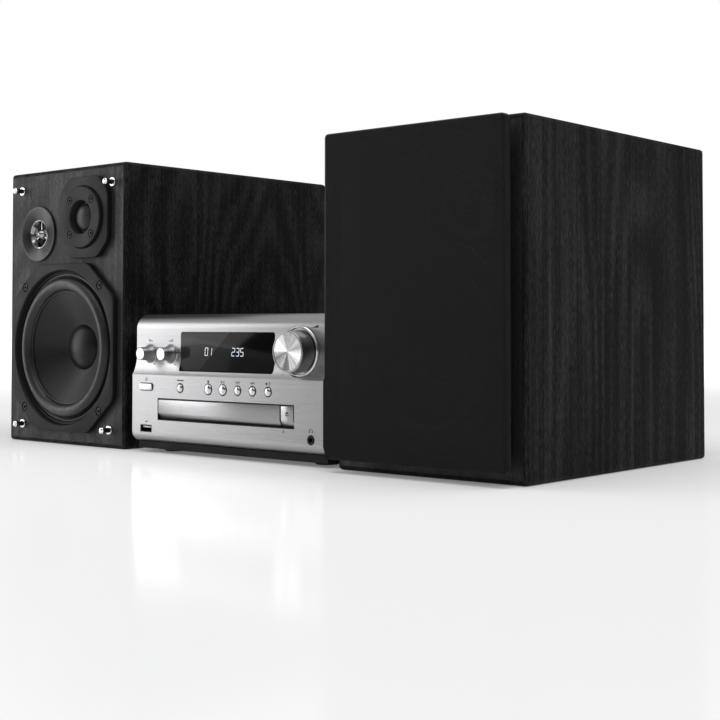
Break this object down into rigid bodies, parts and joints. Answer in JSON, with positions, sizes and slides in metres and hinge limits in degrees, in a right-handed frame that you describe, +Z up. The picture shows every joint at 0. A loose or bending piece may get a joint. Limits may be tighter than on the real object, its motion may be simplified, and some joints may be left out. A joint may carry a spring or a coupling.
{
  "type": "mini hifi system",
  "caption": "Compact silver disc receiver with turning knobs, pressing buttons and a sliding tray, between two black wood-grain bookshelf speakers.",
  "frame": {"origin": "bottom centre of the whole set's box, on the shelf", "axes": "+X to the right as seen from the front, -Y the way the fronts face, +Z up"},
  "size_m": [0.5584, 0.2654, 0.238],
  "materials": {
    "black_wood_vinyl": "black wood-grain vinyl wrap, satin",
    "black_moulding": "fine matt black moulding",
    "surround_rubber": "smooth butyl rubber",
    "cone_paper": "black cone, slightly fibrous",
    "gloss_black": "polished black",
    "grille_cloth": "black knitted acoustic cloth on a frame",
    "silver_panel": "horizontally brushed",
    "silver_trim": "spun and polished",
    "black_steel": "textured black paint",
    "bare_steel": "plated sheet steel",
    "circuit_board": "green solder mask",
    "foot_rubber": "soft black rubber",
    "nylon": "natural nylon",
    "magnet": "plated magnet"
  },
  "bodies": {
    "receiver": {"front_panel": "silver_panel", "base_pan": "black_steel", "top_cover": "black_steel", "rear_panel": "black_steel", "foot_front_left": "foot_rubber", "foot_front_right": "foot_rubber", "foot_rear_left": "foot_rubber", "foot_rear_right": "foot_rubber", "display_window": "gloss_black", "front_board": "circuit_board", "volume_collar": "silver_trim", "disc_deck": "black_moulding", "clamp_bridge": "bare_steel", "main_board": "circuit_board", "power_supply": "bare_steel", "heat_sink": "bare_steel", "usb_socket": "bare_steel", "headphone_socket": "black_moulding", "mains_inlet": "black_moulding", "speaker_terminals": "black_moulding", "line_sockets": "black_moulding"},
    "left_speaker": {"left_cabinet": "black_wood_vinyl", "left_front_baffle": "black_wood_vinyl", "left_woofer_basket": "black_moulding", "left_woofer_surround": "surround_rubber", "left_woofer_magnet": "magnet", "left_tweeter": "black_moulding", "left_super_tweeter": "gloss_black", "left_port_tube": "black_moulding", "left_terminal_plate": "black_moulding"},
    "left_cone": {"left_woofer_cone": "cone_paper"},
    "right_speaker": {"right_cabinet": "black_wood_vinyl", "right_front_baffle": "black_wood_vinyl", "right_woofer_basket": "black_moulding", "right_woofer_surround": "surround_rubber", "right_woofer_magnet": "magnet", "right_tweeter": "black_moulding", "right_super_tweeter": "gloss_black", "right_port_tube": "black_moulding", "right_terminal_plate": "black_moulding"},
    "right_cone": {"right_woofer_cone": "cone_paper"},
    "grille": {"right_grille": "grille_cloth"},
    "volume": {"volume_knob": "silver_trim"},
    "bass": {"bass_knob": "silver_trim"},
    "treble": {"treble_knob": "silver_trim"},
    "power": {"power_button": "silver_trim"},
    "selector": {"selector_button": "silver_trim"},
    "stop": {"stop_button": "silver_trim"},
    "play": {"play_button": "silver_trim"},
    "previous": {"previous_button": "silver_trim"},
    "next": {"next_button": "silver_trim"},
    "pairing": {"pairing_button": "silver_trim"},
    "eject": {"eject_button": "silver_trim"},
    "tray": {"disc_tray": "black_moulding", "tray_front": "silver_panel"},
    "gear": {"loading_gear": "nylon"},
    "traverse": {"traverse": "bare_steel"},
    "sled": {"pickup_sled": "black_moulding"},
    "spindle": {"spindle": "black_moulding"},
    "disc_clamp": {"disc_clamp": "black_moulding"}
  },
  "joints": [
    {"name": "left_speaker_slide", "type": "slide", "parent": "receiver", "child": "left_speaker", "axis": [-1, 0, 0], "range_m": [0, 0.3]},
    {"name": "right_speaker_slide", "type": "slide", "parent": "receiver", "child": "right_speaker", "axis": [1, 0, 0], "range_m": [0, 0.3]},
    {"name": "left_cone_travel", "type": "slide", "parent": "left_speaker", "child": "left_cone", "axis": [0, -1, 0], "range_m": [-0.003, 0.003], "stiffness_N_per_m": 1500},
    {"name": "right_cone_travel", "type": "slide", "parent": "right_speaker", "child": "right_cone", "axis": [0, -1, 0], "range_m": [-0.003, 0.003], "stiffness_N_per_m": 1500},
    {"name": "grille_pull", "type": "slide", "parent": "right_speaker", "child": "grille", "axis": [0, -1, 0], "range_m": [0, 0.06]},
    {"name": "volume_turn", "type": "hinge", "parent": "receiver", "child": "volume", "pos_m": [0.0816, -0.11335, 0.0832], "axis": [0, -1, 0], "continuous": true},
    {"name": "bass_turn", "type": "hinge", "parent": "receiver", "child": "bass", "pos_m": [-0.0861, -0.11335, 0.0795], "axis": [0, -1, 0], "range_deg": [-150, 150]},
    {"name": "treble_turn", "type": "hinge", "parent": "receiver", "child": "treble", "pos_m": [-0.0612, -0.11335, 0.0795], "axis": [0, -1, 0], "range_deg": [-150, 150]},
    {"name": "power_press", "type": "slide", "parent": "receiver", "child": "power", "axis": [0, 1, 0], "range_m": [0, 0.0009], "stiffness_N_per_m": 1200},
    {"name": "selector_press", "type": "slide", "parent": "receiver", "child": "selector", "axis": [0, 1, 0], "range_m": [0, 0.0009], "stiffness_N_per_m": 1200},
    {"name": "stop_press", "type": "slide", "parent": "receiver", "child": "stop", "axis": [0, 1, 0], "range_m": [0, 0.0009], "stiffness_N_per_m": 1200},
    {"name": "play_press", "type": "slide", "parent": "receiver", "child": "play", "axis": [0, 1, 0], "range_m": [0, 0.0009], "stiffness_N_per_m": 1200},
    {"name": "previous_press", "type": "slide", "parent": "receiver", "child": "previous", "axis": [0, 1, 0], "range_m": [0, 0.0009], "stiffness_N_per_m": 1200},
    {"name": "next_press", "type": "slide", "parent": "receiver", "child": "next", "axis": [0, 1, 0], "range_m": [0, 0.0009], "stiffness_N_per_m": 1200},
    {"name": "pairing_press", "type": "slide", "parent": "receiver", "child": "pairing", "axis": [0, 1, 0], "range_m": [0, 0.0009], "stiffness_N_per_m": 1200},
    {"name": "eject_press", "type": "slide", "parent": "receiver", "child": "eject", "axis": [0, 1, 0], "range_m": [0, 0.0009], "stiffness_N_per_m": 1200},
    {"name": "tray_slide", "type": "slide", "parent": "receiver", "child": "tray", "axis": [0, -1, 0], "range_m": [0, 0.13]},
    {"name": "gear_turn", "type": "hinge", "parent": "receiver", "child": "gear", "pos_m": [0.0725, -0.08335, 0.03], "axis": [0, 0, 1], "range_deg": [0, 829]},
    {"name": "traverse_lift", "type": "slide", "parent": "receiver", "child": "traverse", "axis": [0, 0, 1], "range_m": [0, 0.005]},
    {"name": "sled_travel", "type": "slide", "parent": "traverse", "child": "sled", "axis": [0, 1, 0], "range_m": [0, 0.034]},
    {"name": "spindle_spin", "type": "hinge", "parent": "traverse", "child": "spindle", "pos_m": [-0.00335, -0.04635, 0.027], "axis": [0, 0, 1], "continuous": true},
    {"name": "clamp_spin", "type": "hinge", "parent": "receiver", "child": "disc_clamp", "pos_m": [-0.00335, -0.04635, 0.045], "axis": [0, 0, 1], "continuous": true}
  ],
  "couplings": [
    {"joint": "gear_turn", "follows": "tray_slide", "rad_per_m": 111.11},
    {"joint": "clamp_spin", "follows": "spindle_spin", "ratio": 1}
  ]
}
